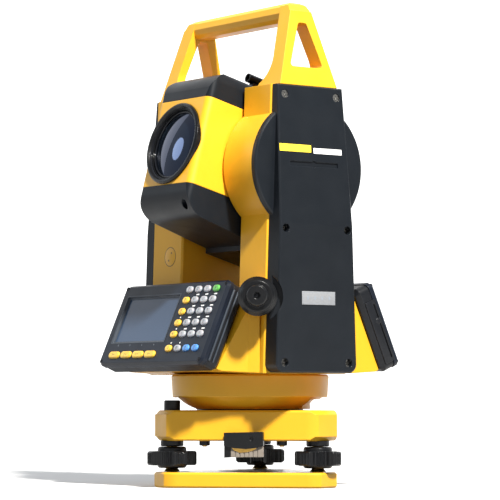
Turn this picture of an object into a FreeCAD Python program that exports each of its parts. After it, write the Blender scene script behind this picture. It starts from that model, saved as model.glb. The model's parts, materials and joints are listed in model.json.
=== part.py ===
import FreeCAD, Part
import math
import os

# Surveying total station, in millimetres.
# Origin: centre of the base plate's underside, on the vertical axis. +Z up.
# -Y is the side the objective looks out of, +X is the side with the screwed side cover.

V = FreeCAD.Vector
X_AXIS = V(1, 0, 0)
Z_AXIS = V(0, 0, 1)

# ---- driving dimensions ----
RUN = 0.06              # radial clearance of running fits
GAP = 0.3               # air between bodies that move past each other

TRUNNION_Z = 217.5      # height of the telescope's tilting axis
TELESCOPE_PITCH = 15.0  # objective raised by this many degrees at rest

# tribrach: three footscrews between a base plate and a top plate
SCREW_CIRCLE_R = 58.0
SCREW_ANGLES = [16.8, 136.8, 256.8]
LEVER_ANGLE = -43.2
PLATE_T = 10.4
KNOB_Z0, KNOB_Z1 = 13.2, 27.7
TRIBRACH_Z0, TRIBRACH_Z1 = 31.8, 52.6
LUG_BEVEL = 2.8         # bevel round the tips of the three corners
LUG_BEVEL_R = 63.4      # radius where that bevel starts
CORNER_CIRCLE_R = 50.5
CORNER_R = 19.3
CORNER_FLAT = 66.5
STEM_R = 3.8
BALL_R = 4.4
SPRING_PLATE_T = 1.2
TRIPOD_THREAD_R = 7.94
LEVER_PIVOT_Z = 33.5
LEVER_OFFSET = 7.5
LEVER_PIN_R = 3.0
LEVER_BOSS_R = 5.6
PLUG_POST_R = 3.7
PLUG_POST_DROP = 3.2
LEVEL_TOP_Z = 59.5

# vertical axis, neck and drum
NECK_Z0, NECK_Z1 = 53.4, 62.7
NECK_FOOT_R = 37.6
NECK_BOWL = (45.4, 57.5)   # radius and height half way up the bowl
NECK_BOWL_TOP = 61.5
NECK_NOTCH_R = 41.9     # floor of the access notch in the neck
NECK_NOTCH = (22.8, 92.8)
DRUM_R = 54.8
DRUM_TAPER = 0.9
DRUM_Z0, DRUM_Z1 = 61.3, 77.2
DRUM_WALL = 4.1
SPINDLE_R = 9.0
BUSH_R = 14.0
PLUG_R = 28.0
PLUG_Z0 = 39.9
PLUG_FLANGE_R = 37.0

# alidade
BASE_Z = 77.4
FLOOR_Z = 117.5         # top of the block between the standards
WEDGE_TOP = 130.5
LEVEL_TUBE_Z = 125.5
FRONT_WEDGE = (-66.0, 59.5)
FRONT_FLARE = [(43.0, -60.0), (54.0, -41.0), (59.5, -35.0)]   # plan of its right side, in (x, y)
REAR_WEDGE = (-43.0, 69.0)
STANDARD_TOP = 272.5
STANDARD_HALF_LOW, STANDARD_HALF_TOP = 35.0, 28.5
RIGHT_X0, RIGHT_X1 = 32.0, 64.0
LEFT_X0, LEFT_X1 = -73.5, -37.0
BULGE_R = 45.5
WALL = 4.5
COVER_X_TOP, COVER_X_LOW = 69.5, 77.0
LEFT_COVER_X, LEFT_COVER_TOP = -83.5, -76.0
BATTERY_HALF, BATTERY_Z0, BATTERY_Z1, BATTERY_DEPTH = 24.0, 93.5, 173.5, 7.0
LATCH_Z = (155.5, 165.5)
COVER_LEAN_Z = 177.5    # the covers lean inwards above this height
SLOT_Z, SLOT_HALF, SLOT_TALL, SLOT_DEPTH = 218.5, 20.4, 3.4, 1.1
# screws of the side cover: (y, z, outer face there, depth of the head below that face)
COVER_SCREWS = [(-21.8, 265.5, 70.0, 0.5), (21.8, 265.5, 70.0, 0.5), (-26.0, 174.5, 77.0, 5.0),
                (26.0, 174.5, 77.0, 5.0), (-27.0, 84.5, 77.0, 3.4), (27.0, 84.5, 77.0, 3.4)]
SCREW_HEAD_T = 1.7

# handle
HANDLE_FOOT_HALF, HANDLE_TOP_HALF = 24.2, 7.0
HANDLE_TOP_Z = 331.0
HANDLE_BEND_Z = (282.5, 294.5)   # the legs spread inwards below these heights
HANDLE_RIGHT = (68.0, 58.0)     # outer face of the right leg, at its foot and at the top
HANDLE_LEFT = (76.5, 67.5)
HANDLE_LEG_T = 12.5
HANDLE_SPREAD = 26.5     # width of each foot
GRIP_Z0 = 318.0
HANDLE_WINDOW = [(-14.0, 285.5), (14.0, 285.5), (3.4, 316.5), (-3.4, 316.5)]

# display units: a tilted face, P along it, Q up it, N out of it
FACE_Y, FACE_Z = -75.0, 84.5
FACE_TILT = 23.7
FACE_P0, FACE_P1 = -79.5, 47.0
FACE_Q0, FACE_Q1 = -0.5, 61.5
FACE_T, CASE_T = 5.0, 16.0
REAR_SHIFT = -5.5         # the rear unit stands this far off the mirrored place
FACE_CORNER_R = 5.0
SCREEN_P0, SCREEN_P1, SCREEN_Q0, SCREEN_Q1 = -71.2, -6.2, 16.6, 51.8
KEY_P0, KEY_PITCH_P = 3.5, 10.45
KEY_ROWS_Q = [54.9, 46.9, 38.4, 29.9, 21.3, 10.8]
KEY_W, KEY_H = 6.9, 4.9
SOFT_P0, SOFT_PITCH = -61.4, 14.8
SOFT_Q = 6.9
SOFT_W, SOFT_H = 12.4, 5.1
KEY_PROUD = 1.4
KEY_DOME = 1.0            # rounding of the keys' upper edge
KEY_SIDE_GAP = 0.15

# coaxial clamp ring and tangent knob on a corner of a standard
DRIVE_X, DRIVE_Y, DRIVE_Z = 60.0, -37.0, 128.5
DRIVE_ANGLE = -37.5
RING_R, RING_T0, RING_T1 = 13.2, 6.0, 16.0
PEDESTAL_R = 10.5
SLEEVE_R = 5.9
KNOB_STEM_R = 3.0
SCOOP_R = 17.0
SCOOP_FLOOR = 4.0

# telescope, in its own coordinates: A forward along the sight line, U up
TUBE_HALF = 30.0
TUBE_A0, TUBE_A1 = -42.0, 66.8
TUBE_U0, TUBE_U1 = -29.5, 32.0
TUBE_CORNER_R = 5.0
CAP_TOP_U, CAP_EDGE_R = 54.5, 11.0
OBJECTIVE_PROUD = 2.4
LENS_R, LENS_A = 23.4, 61.0
TUNNEL_R = 24.0
OBJECTIVE_R = 29.0
OBJECTIVE_SEAT = 8.0      # depth of the counterbore for the objective cell
TAIL_A0, TAIL_R = -62.0, 12.0     # tube under the focusing ring
BARREL_R = 9.0            # eyepiece barrel
TRUNNION_R = 10.0
SHAFT_REACH = 19.0
FINDER_SIDE = -19.0


# ---- helpers ----
def box(x0, x1, y0, y1, z0, z1):
    return Part.makeBox(x1 - x0, y1 - y0, z1 - z0, V(x0, y0, z0))


def rod(radius, start, end):
    """A round bar between two points."""
    return Part.makeCylinder(radius, (end - start).Length, start, end - start)


def rod_z(radius, z0, z1, x=0.0, y=0.0):
    return rod(radius, V(x, y, z0), V(x, y, z1))


def rod_x(radius, x0, x1, y=0.0, z=0.0):
    return rod(radius, V(x0, y, z), V(x1, y, z))


def rod_y(radius, y0, y1, x=0.0, z=0.0):
    return rod(radius, V(x, y0, z), V(x, y1, z))


def polar(radius, degrees, z=0.0):
    angle = math.radians(degrees)
    return V(radius * math.cos(angle), radius * math.sin(angle), z)


def union(shapes):
    first, *rest = shapes
    return first.multiFuse(rest).removeSplitter() if rest else first


def wire_solid(edges, sweep):
    return Part.Face(Part.Wire(edges)).extrude(sweep)


def polygon(points):
    return Part.Face(Part.makePolygon(points + [points[0]]))


def prism_x(outline, x0, x1):
    """An outline of (y, z) points, from x0 to x1."""
    return polygon([V(x0, y, z) for y, z in outline]).extrude(V(x1 - x0, 0, 0))


def prism_y(outline, y0, y1):
    """An outline of (x, z) points, from y0 to y1."""
    return polygon([V(x, y0, z) for x, z in outline]).extrude(V(0, y1 - y0, 0))


def prism_z(outline, z0, z1):
    return polygon([V(x, y, z0) for x, y in outline]).extrude(V(0, 0, z1 - z0))


def turned(outline):
    """A body of revolution about Z, from an outline of (radius, z) points."""
    return polygon([V(r, 0, z) for r, z in outline]).revolve(V(0, 0, 0), Z_AXIS, 360)


def rounded_block(x0, x1, y0, y1, z0, z1, radius):
    """A block with its four upright edges rounded."""
    block = box(x0, x1, y0, y1, z0, z1)
    upright = [e for e in block.Edges if abs(e.tangentAt(e.FirstParameter).z) > 0.9]
    return block.makeFillet(radius, upright)


def rim(shape, z):
    """The edges of a shape that lie wholly at height z."""
    return [e for e in shape.Edges if all(abs(v.Point.z - z) < 1e-4 for v in e.Vertexes)
            and abs(e.CenterOfMass.z - z) < 1e-4]


def softened(shape, z, size):
    """A shape with the edges at height z chamfered."""
    return shape.makeChamfer(size, rim(shape, z))


def moved(shape, matrix):
    copy = shape.copy()
    copy.Placement = FreeCAD.Placement(matrix).multiply(copy.Placement)
    return copy


def frame_matrix(origin, x_dir, y_dir, z_dir):
    return FreeCAD.Matrix(x_dir.x, y_dir.x, z_dir.x, origin.x,
                          x_dir.y, y_dir.y, z_dir.y, origin.y,
                          x_dir.z, y_dir.z, z_dir.z, origin.z,
                          0, 0, 0, 1)


def half_turn(shape):
    """The same piece on the opposite side of the vertical axis."""
    return moved(shape, FreeCAD.Placement(V(), FreeCAD.Rotation(Z_AXIS, 180)).toMatrix())


def rounded_triangle(centre_r, corner_r, flat, z0, z1):
    """Hull of three corner circles, with each corner cut flat at a distance from the axis."""
    edges = []
    for index, angle in enumerate(SCREW_ANGLES):
        centre = polar(centre_r, angle, z0)
        points = [centre + polar(corner_r, angle + turn) for turn in (-60, 0, 60)]
        edges.append(Part.Arc(*points).toShape())
        following = SCREW_ANGLES[(index + 1) % 3]
        edges.append(Part.makeLine(points[2], polar(centre_r, following, z0) + polar(corner_r, following - 60)))
    shape = wire_solid(edges, V(0, 0, z1 - z0))
    for angle in SCREW_ANGLES:
        cutter = box(flat, flat + corner_r, -corner_r * 2, corner_r * 2, z0 - 1, z1 + 1)
        cutter.rotate(V(), Z_AXIS, angle)
        shape = shape.cut(cutter)
    return shape


def bevelled_disc(z0, z1):
    """Bevels the tips of the corners, top and bottom."""
    reach = LUG_BEVEL_R + LUG_BEVEL
    return turned([(0, z0), (LUG_BEVEL_R, z0), (reach, z0 + LUG_BEVEL), (reach + 9, z0 + LUG_BEVEL),
                   (reach + 9, z1 - LUG_BEVEL), (reach, z1 - LUG_BEVEL), (LUG_BEVEL_R, z1), (0, z1)])


def lobed_knob(z0, z1):
    """Ribbed knob with four grip lobes between a lower and an upper hub."""
    hub_r, mean_r, lobe, rib, ribs_per_lobe = 9.8, 14.2, 3.0, 0.35, 12
    count = 4 * ribs_per_lobe * 4
    outline = []
    for step in range(count):
        angle = 2 * math.pi * step / count
        lobing = lobe * math.tanh(2.2 * math.cos(4 * angle))
        ribbing = rib * math.cos(4 * ribs_per_lobe * angle)
        radius = mean_r + lobing + ribbing
        outline.append(V(radius * math.cos(angle), radius * math.sin(angle), z0 + 1.8))
    lobe_z0, lobe_z1 = z0 + 1.8, z1 - 3.0
    grip = polygon(outline).extrude(V(0, 0, lobe_z1 - lobe_z0))
    reach, bevel = mean_r + lobe + 1, 2.2
    envelope = turned([(0, lobe_z0), (reach - bevel, lobe_z0), (reach, lobe_z0 + bevel),
                       (reach, lobe_z1 - bevel), (reach - bevel, lobe_z1), (0, lobe_z1)])
    hub = turned([(0, z0), (hub_r - 1, z0), (hub_r, z0 + 1), (hub_r, z1 - 1), (hub_r - 1, z1), (0, z1)])
    return union([grip.common(envelope), hub]).cut(rod_z(STEM_R, z0 - 1, z1 + 1))


# ---- tribrach ----
def base_plate():
    plate = rounded_triangle(CORNER_CIRCLE_R + 1, CORNER_R - 1, CORNER_FLAT + 1, 0, PLATE_T)
    plate = softened(softened(plate, PLATE_T, 1.2), 0, 1.0)
    recess = rounded_triangle(CORNER_CIRCLE_R, CORNER_R - 5, CORNER_FLAT - 2,
                              PLATE_T - SPRING_PLATE_T, PLATE_T + 1)
    plate = plate.cut(recess)
    for angle in SCREW_ANGLES:
        at = polar(SCREW_CIRCLE_R, angle)
        plate = plate.cut(rod_z(BALL_R + RUN, 1.75, PLATE_T + 1, at.x, at.y))
    return plate.cut(rod_z(TRIPOD_THREAD_R, -1, PLATE_T + 1))


def spring_plate():
    """Spring steel sheet that holds the three ball feet down."""
    play = 0.1
    z0 = PLATE_T - SPRING_PLATE_T
    sheet = rounded_triangle(CORNER_CIRCLE_R - play, CORNER_R - 5 - play, CORNER_FLAT - 2 - play, z0, PLATE_T)
    sheet = sheet.cut(rod_z(22, z0 - 1, PLATE_T + 1))
    for angle in SCREW_ANGLES:
        at = polar(SCREW_CIRCLE_R, angle)
        sheet = sheet.cut(rod_z(STEM_R + 0.1, z0 - 1, PLATE_T + 1, at.x, at.y))
        slit = box(SCREW_CIRCLE_R - 14, SCREW_CIRCLE_R - 8, -9, 9, z0 - 1, PLATE_T + 1)
        slit.rotate(V(), Z_AXIS, angle)
        sheet = sheet.cut(slit)
    return sheet


def footscrew_stem(angle):
    at = polar(SCREW_CIRCLE_R, angle)
    ball_z = 1.8 + BALL_R
    foot = turned([(0, PLATE_T + 0.3), (STEM_R + 1.9, PLATE_T + 0.3), (STEM_R, KNOB_Z0), (0, KNOB_Z0)])
    stem = union([Part.makeSphere(BALL_R, V(0, 0, ball_z)), rod_z(STEM_R, ball_z, TRIBRACH_Z1 - 4), foot])
    return stem.translated(at)


def footscrew_knob(angle):
    knob = lobed_knob(KNOB_Z0, KNOB_Z1)
    knob.rotate(V(), Z_AXIS, angle)
    return knob.translated(polar(SCREW_CIRCLE_R, angle))


def tribrach_body():
    body = rounded_triangle(CORNER_CIRCLE_R, CORNER_R, CORNER_FLAT, TRIBRACH_Z0, TRIBRACH_Z1)
    body = softened(softened(body, TRIBRACH_Z1, 1.2), TRIBRACH_Z0, 1.0)
    body = body.common(bevelled_disc(TRIBRACH_Z0, TRIBRACH_Z1))
    boss = [lever_pivot() + polar(reach, LEVER_ANGLE) for reach in (33, CORNER_CIRCLE_R / 2 + CORNER_R)]
    body = union([body, rod(LEVER_BOSS_R, *boss)])
    body = body.cut(rod_z(PLUG_R + 0.05, PLUG_Z0 - 0.4, TRIBRACH_Z1 + 1))
    body = body.cut(rod_z(22, TRIBRACH_Z0 - 5, PLUG_Z0))
    for angle in SCREW_ANGLES:
        at = polar(SCREW_CIRCLE_R, angle)
        body = body.cut(rod_z(STEM_R + RUN, TRIBRACH_Z0 - 1, TRIBRACH_Z1 - 2.5, at.x, at.y))
    bore = [lever_pivot() + polar(reach, LEVER_ANGLE) for reach in (29.5, 60)]
    body = body.cut(rod(LEVER_PIN_R + RUN, *bore))
    for place in underside_places():
        body = body.cut(rod_z(PLUG_POST_R, TRIBRACH_Z0 - 1, TRIBRACH_Z0 + 5, place.x, place.y))
    return body


def footscrew_collars():
    """Dust collars pressed under the tribrach, one round each footscrew."""
    rings = []
    for angle in SCREW_ANGLES:
        ring = turned([(STEM_R + RUN, KNOB_Z1 + GAP), (7.3, KNOB_Z1 + GAP), (7.9, KNOB_Z1 + 1),
                       (7.9, TRIBRACH_Z0), (STEM_R + RUN, TRIBRACH_Z0)])
        rings.append(ring.translated(polar(SCREW_CIRCLE_R, angle)))
    return Part.makeCompound(rings)


def lever_side(distance):
    """A step sideways along the tribrach's edge, as seen from outside."""
    return polar(distance, LEVER_ANGLE + 90)


def lever_pivot():
    """Where the lever's pivot axis would meet the plane through the vertical axis."""
    return lever_side(LEVER_OFFSET) + V(0, 0, LEVER_PIVOT_Z)


def underside_places():
    """Two clamp screws beside the lever and one opposite it."""
    inset = polar(37, LEVER_ANGLE)
    return [inset + lever_side(-26.5), inset + lever_side(26.5), polar(-38, LEVER_ANGLE)]


def underside_plugs():
    posts = []
    for place in underside_places():
        z0 = TRIBRACH_Z0 - PLUG_POST_DROP
        post = softened(rod_z(PLUG_POST_R, z0, TRIBRACH_Z0 + 4.9), z0, 0.5)
        post = post.cut(rod_z(1.9, z0 - 1, z0 + 1.2))
        posts.append(post.translated(V(place.x, place.y, 0)))
    return Part.makeCompound(posts)


def circular_level_cup():
    z0, z1 = TRIBRACH_Z1, LEVEL_TOP_Z
    cup = turned([(0, z0), (5.6, z0), (5.6, z1 - 0.6), (5.0, z1), (4.1, z1), (4.1, z1 - 4), (0, z1 - 4)])
    return cup.translated(polar(SCREW_CIRCLE_R, SCREW_ANGLES[2]))


def circular_level_vial():
    z1 = LEVEL_TOP_Z
    vial = turned([(0, z1 - 3.95), (4.0, z1 - 3.95), (4.0, z1 - 1), (2.6, z1 - 0.4), (0, z1 - 0.2)])
    return vial.translated(polar(SCREW_CIRCLE_R, SCREW_ANGLES[2]))


def centring_plug():
    plug = turned([(BUSH_R, PLUG_Z0), (PLUG_R - 1, PLUG_Z0), (PLUG_R, PLUG_Z0 + 1), (PLUG_R, TRIBRACH_Z1),
                   (PLUG_FLANGE_R, TRIBRACH_Z1), (PLUG_FLANGE_R, NECK_Z0), (BUSH_R, NECK_Z0)])
    return plug


def neck_housing():
    """Fixed bowl-shaped neck with an access notch; its top flange sits inside the drum's skirt."""
    flange = DRUM_R - DRUM_WALL - 0.5
    ledge = DRUM_Z0 - 1.4
    foot = [V(BUSH_R, 0, NECK_Z0), V(NECK_FOOT_R, 0, NECK_Z0), V(NECK_FOOT_R + 0.3, 0, NECK_Z0 + 0.4)]
    bowl = [foot[-1], V(NECK_BOWL[0], 0, NECK_BOWL[1]), V(flange, 0, NECK_BOWL_TOP)]
    top = [bowl[-1], V(flange, 0, NECK_Z1), V(BUSH_R, 0, NECK_Z1), foot[0]]
    edges = [Part.makeLine(a, b) for a, b in zip(foot, foot[1:])]
    edges.append(Part.Arc(*bowl).toShape())
    edges += [Part.makeLine(a, b) for a, b in zip(top, top[1:])]
    neck = Part.Face(Part.Wire(edges)).revolve(V(), Z_AXIS, 360)
    notch = turned([(NECK_NOTCH_R, NECK_Z0 - 1), (60, NECK_Z0 - 1), (60, ledge),
                    (NECK_NOTCH_R + 2.4, ledge), (NECK_NOTCH_R, ledge - 2.4)])
    floor = turned([(BUSH_R, NECK_Z0), (NECK_NOTCH_R, NECK_Z0), (NECK_NOTCH_R, ledge), (BUSH_R, ledge)])
    start, end = (polar(80, angle, NECK_Z0 - 1) for angle in NECK_NOTCH)
    sector = polygon([V(0, 0, NECK_Z0 - 1), start, end]).extrude(V(0, 0, 20))
    return union([neck.cut(notch.common(sector)), floor.common(sector)])


def axis_bush():
    return rod_z(BUSH_R - 0.01, PLUG_Z0 + 1.6, NECK_Z1 + 1.8).cut(rod_z(SPINDLE_R + RUN, PLUG_Z0, NECK_Z1 + 3))


def horizontal_circle():
    return rod_z(46, NECK_Z1, NECK_Z1 + 2).cut(rod_z(BUSH_R, NECK_Z1 - 1, NECK_Z1 + 3))


def lever_shape(outline, reach0, reach1):
    """An outline of (sideways, height) points beside the lever's pivot, between two radial distances."""
    out = polar(1, LEVER_ANGLE)
    points = [lever_pivot() + out * reach0 + lever_side(s) + V(0, 0, h) for s, h in outline]
    return polygon(points).extrude(out * (reach1 - reach0))


def clamp_lever():
    """Black lever head with its pivot pin; it turns half a turn on the tribrach's side."""
    out = polar(1, LEVER_ANGLE)
    pivot = lever_pivot()
    edge = CORNER_CIRCLE_R / 2 + CORNER_R
    head = lever_shape([(-18.8, 4.0), (7.2, 4.6), (7.9, 3.8), (7.9, -4.6), (3.5, -6.2), (-4, -7),
                        (-12, -6.4), (-18.8, -4.8)], edge + 0.5, edge + 7.4)
    flank = lever_shape([(-18.8, -3), (-14.2, -3), (-14.2, -12.6), (-18.8, -12.9)], edge + 0.5, edge + 5.4)
    pin = rod(LEVER_PIN_R, out * 30 + pivot, out * (edge + 1) + pivot)
    dimple = rod(1.5, out * (edge + 6.2) + pivot, out * (edge + 9) + pivot)
    return union([head, flank, pin]).cut(dimple)


def clamp_lever_grip():
    edge = CORNER_CIRCLE_R / 2 + CORNER_R
    play = 0.02
    outline = [(-14.2 + play, -6.1), (-12, -6.4 - play), (-4, -7 - play), (3.5, -6.2 - play), (7.5, -4.8),
               (7.6, -12.4), (-14.2 + play, -12.6)]
    grip = lever_shape(outline, edge + 0.5, edge + 5.8)
    for side in [-11.5 + 3 * step for step in range(6)]:
        groove = lever_shape([(side, -13), (side + 0.7, -13), (side + 0.7, -7.4), (side, -7.4)],
                             edge + 5.3, edge + 7)
        grip = grip.cut(groove)
    return grip


# ---- alidade ----
def circle_drum():
    inner = DRUM_R - DRUM_WALL
    roof = DRUM_Z1 - 3.5
    low_r = DRUM_R - DRUM_TAPER
    drum = turned([(0, roof), (inner - 2, roof), (inner, roof - 2), (inner, DRUM_Z0), (low_r - 0.8, DRUM_Z0),
                   (low_r, DRUM_Z0 + 0.8), (DRUM_R, DRUM_Z1 - 1.2), (DRUM_R - 1.2, DRUM_Z1), (0, DRUM_Z1)])
    return drum.cut(rod_z(SPINDLE_R, roof - 1, DRUM_Z1 + 1))


def axis_spindle():
    roof = DRUM_Z1 - 3.5
    return union([rod_z(SPINDLE_R - 0.01, PLUG_Z0 + 2.6, DRUM_Z1), rod_z(20, roof - 4, roof)])


def wedge(x0, x1):
    """Bracket under the front display unit, from the base's wall to the unit's back."""
    outline = [(-30, BASE_Z), (-56.2, BASE_Z + 1.6), (-59.2, BASE_Z + 3), (-36.8, WEDGE_TOP), (-30, WEDGE_TOP)]
    return prism_x(outline, x0, x1)


def alidade_base():
    """Central block between the standards, with a bracket for each display unit."""
    right, left = RIGHT_X0 - 0.05, LEFT_X1 + 0.05
    depth = STANDARD_HALF_LOW
    block = box(left, right, -depth, depth, BASE_Z, FLOOR_Z)
    flare = FRONT_FLARE + [(100, -35), (100, -100), (FRONT_FLARE[0][0], -100)]
    front = wedge(*FRONT_WEDGE).cut(prism_z(flare, 0, 300))
    front = front.cut(rod(PEDESTAL_R + 0.05, drive_point(-8), drive_point(RING_T0)))
    rear = half_turn(wedge(-REAR_WEDGE[1], -REAR_WEDGE[0]))
    for x0, x1 in ((LEFT_X0 - 5, left), (right, RIGHT_X1 + 5)):
        beside = box(x0, x1, -depth - 0.05, depth + 0.05, 0, 300)
        front, rear = front.cut(beside), rear.cut(beside)
    hollow = box(left + WALL, right - WALL, -depth + WALL, depth - WALL, BASE_Z + 6, FLOOR_Z - WALL)
    return union([block, front, rear]).cut(hollow)


def tapered_outline(inset, z0, z1, half_low, half_top):
    """A standard's side view, narrowing upwards."""
    def half(z):
        share = (z - BASE_Z) / (STANDARD_TOP - BASE_Z)
        return half_low + (half_top - half_low) * share - inset
    return [(-half(z0), z0), (half(z0), z0), (half(z1), z1), (-half(z1), z1)]


def standard_outline(inset, z0, z1):
    return tapered_outline(inset, z0, z1, STANDARD_HALF_LOW, STANDARD_HALF_TOP)


def drive_point(distance):
    """A point on the clamp and tangent knob's axis, measured outwards."""
    return V(DRIVE_X, DRIVE_Y, DRIVE_Z) + polar(distance, DRIVE_ANGLE)


def on_left(shape):
    """A drive piece of the right standard, set at the same place on the opposite corner of the left one."""
    return half_turn(shape).translated(V(LEFT_X0 + RIGHT_X1, 0, 0))


def drive_pedestal():
    return union([rod(PEDESTAL_R, drive_point(-5), drive_point(RING_T0 - GAP)),
                  rod(SLEEVE_R, drive_point(0), drive_point(RING_T1 - 0.6))])


def drive_bore():
    return rod(KNOB_STEM_R + RUN, drive_point(-8), drive_point(RING_T1 + 4))


def trunnion_seat(x0, x1):
    return rod_x(14, x0, x1, 0, TRUNNION_Z)


def soften_uprights(shape, y_limit, size):
    """Chamfer the long near-vertical edges at the front and back corners of a standard."""
    chosen = [e for e in shape.Edges if len(e.Vertexes) == 2
              and abs(e.Vertexes[0].Point.z - e.Vertexes[1].Point.z) > 20
              and abs(e.Vertexes[0].Point.y) > y_limit and abs(e.Vertexes[1].Point.y) > y_limit]
    return shape.makeChamfer(size, chosen)


def right_standard():
    """Hollow casting, open on its outer side, with a round bulge about the trunnion."""
    shell = prism_x(standard_outline(0, BASE_Z, STANDARD_TOP), RIGHT_X0, RIGHT_X1)
    shell = soften_uprights(shell, STANDARD_HALF_TOP - 1, 1.2)
    bulge = rod_x(BULGE_R, RIGHT_X0, RIGHT_X1, 0, TRUNNION_Z)
    shell = union([shell, bulge, drive_pedestal().cut(box(RIGHT_X1, 100, -40, 40, 0, 300))])
    x0 = RIGHT_X0 + WALL
    hollow = union([prism_x(standard_outline(WALL, BASE_Z + WALL, STANDARD_TOP - WALL), x0, RIGHT_X1 + 1),
                    rod_x(BULGE_R - WALL, x0, RIGHT_X1 + 1, 0, TRUNNION_Z)])
    shell = shell.cut(hollow)
    hub = rod_x(19, x0 - 1, x0 + 7, 0, TRUNNION_Z)
    boss = rod(9, drive_point(-9), drive_point(0)).common(hollow)
    return union([shell, hub, boss]).cut(trunnion_seat(RIGHT_X0 - 1, x0 + 8)).cut(drive_bore())


def left_standard():
    shell = prism_x(standard_outline(0, BASE_Z, STANDARD_TOP), LEFT_X0, LEFT_X1)
    shell = soften_uprights(shell, STANDARD_HALF_TOP - 1, 1.2)
    pedestal = on_left(drive_pedestal()).cut(box(-120, LEFT_X0, -40, 60, 0, 300))
    x1 = LEFT_X1 - WALL
    hollow = prism_x(standard_outline(WALL, BASE_Z + WALL, STANDARD_TOP - WALL), LEFT_X0 - 1, x1)
    shell = union([shell, pedestal]).cut(hollow)
    hub = rod_x(19, x1 - 7, x1 + 1, 0, TRUNNION_Z)
    boss = on_left(rod(9, drive_point(-9), drive_point(0))).common(hollow)
    shell = union([shell, hub, boss])
    return shell.cut(trunnion_seat(x1 - 8, LEFT_X1 + 1)).cut(on_left(drive_bore()))


def cover_slab(x_inner, x_low, x_top):
    """Tapered side panel whose outer face leans in above mid height."""
    lean_z, corner = COVER_LEAN_Z, 6.0
    outline = tapered_outline(0.8, BASE_Z + 0.5, STANDARD_TOP - 0.3, STANDARD_HALF_LOW, STANDARD_HALF_TOP)
    slab = prism_x(outline, min(x_inner, x_low), max(x_inner, x_low))
    bottom = [e for e in slab.Edges if all(v.Point.z < BASE_Z + 1 for v in e.Vertexes)
              and abs(e.tangentAt(e.FirstParameter).x) > 0.9]
    slab = slab.makeFillet(corner, bottom)
    side = 1 if x_low > x_inner else -1
    beyond = x_low + side * 5
    top = STANDARD_TOP + 1
    slab = slab.cut(prism_y([(x_low, lean_z), (beyond, lean_z), (beyond, top), (x_top, top)], -60, 60))
    outer = [e for e in slab.Edges if all((v.Point.x - x_top) * side > -0.6 for v in e.Vertexes)]
    return slab.makeChamfer(0.9, outer)


def scoop(radius):
    """The finger scoop round the clamp and tangent knob."""
    return rod(radius, drive_point(SCOOP_FLOOR), drive_point(60))


def side_cover():
    inner = RIGHT_X1 + 0.1
    slab = cover_slab(inner, COVER_X_LOW, COVER_X_TOP)
    disc = rod_x(BULGE_R, inner, inner + 4.4, 0, TRUNNION_Z)
    disc_edge = [e for e in disc.Edges if len(e.Vertexes) == 1 and e.CenterOfMass.x > inner + 1]
    disc = disc.makeChamfer(1.0, disc_edge)
    pocket = union([prism_x(standard_outline(8, BASE_Z + 18, STANDARD_TOP - 16), inner - 1, inner + 2.6),
                    prism_x(standard_outline(9, BASE_Z + 20, COVER_LEAN_Z - 10), inner - 1, COVER_X_LOW - 3)])
    pocket = pocket.cut(scoop(SCOOP_R + 2.5))
    shape = union([slab, disc]).cut(pocket).cut(scoop(SCOOP_R))
    lean = (COVER_X_LOW - COVER_X_TOP) / (STANDARD_TOP - COVER_LEAN_Z)
    face_x = COVER_X_LOW - lean * (SLOT_Z - COVER_LEAN_Z)
    z0, z1 = SLOT_Z - SLOT_TALL / 2, SLOT_Z + SLOT_TALL / 2
    shape = shape.cut(box(face_x - SLOT_DEPTH, COVER_X_LOW, -SLOT_HALF, SLOT_HALF, z0, z1))
    shape = shape.cut(rod_x(SLOT_TALL / 2 + 0.7, face_x - SLOT_DEPTH, COVER_X_LOW, 0, SLOT_Z))
    for y, z, x, sink in COVER_SCREWS:
        seat = x - sink - SCREW_HEAD_T
        shape = shape.cut(rod_x(2.9, seat, x + 5, y, z)).cut(rod_x(1.5, inner - 1, x, y, z))
    return shape


def side_cover_screws():
    screws = []
    for y, z, x, sink in COVER_SCREWS:
        top = x - sink
        seat = top - SCREW_HEAD_T
        screw = union([rod_x(2.7, seat, top, y, z), rod_x(1.45, RIGHT_X1, seat, y, z)])
        for half_y, half_z in ((2, 0.35), (0.35, 2)):
            screw = screw.cut(box(top - 0.6, top + 1, y - half_y, y + half_y, z - half_z, z + half_z))
        screws.append(screw)
    return Part.makeCompound(screws)


def left_cover():
    """Cover on the other side, with the battery's bay."""
    shape = cover_slab(LEFT_X0 - 0.1, LEFT_COVER_X, LEFT_COVER_TOP)
    bay = box(LEFT_COVER_X - 2, LEFT_COVER_X + BATTERY_DEPTH, -BATTERY_HALF - GAP, BATTERY_HALF + GAP,
              BATTERY_Z0 - GAP, BATTERY_Z1 + GAP)
    return shape.cut(bay).cut(on_left(scoop(SCOOP_R)))


def battery_pack():
    x0 = LEFT_COVER_X - 0.6
    pack = box(x0, LEFT_COVER_X + BATTERY_DEPTH - GAP, -BATTERY_HALF, BATTERY_HALF, BATTERY_Z0, BATTERY_Z1)
    outer = [e for e in pack.Edges if all(abs(v.Point.x - x0) < 1e-6 for v in e.Vertexes)]
    pack = pack.makeChamfer(1.5, outer)
    for step in range(5):
        z = BATTERY_Z0 + 12 + 4 * step
        pack = pack.cut(box(x0 - 1, x0 + 0.8, -16, 16, z, z + 1.8))
    z0, z1 = LATCH_Z
    return pack.cut(box(x0 - 1, x0 + 4.5, -12 - GAP, 12 + GAP, z0 - GAP, z1 + 4))


def battery_latch():
    """Sprung slide set into the top of the battery."""
    x0 = LEFT_COVER_X - 0.6
    z0, z1 = LATCH_Z
    latch = box(x0, x0 + 4.2, -12, 12, z0, z1)
    for step in range(3):
        z = z0 + 1.6 + 2.8 * step
        latch = latch.cut(box(x0 - 1, x0 + 0.7, -10, 10, z, z + 1.4))
    return latch


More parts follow.
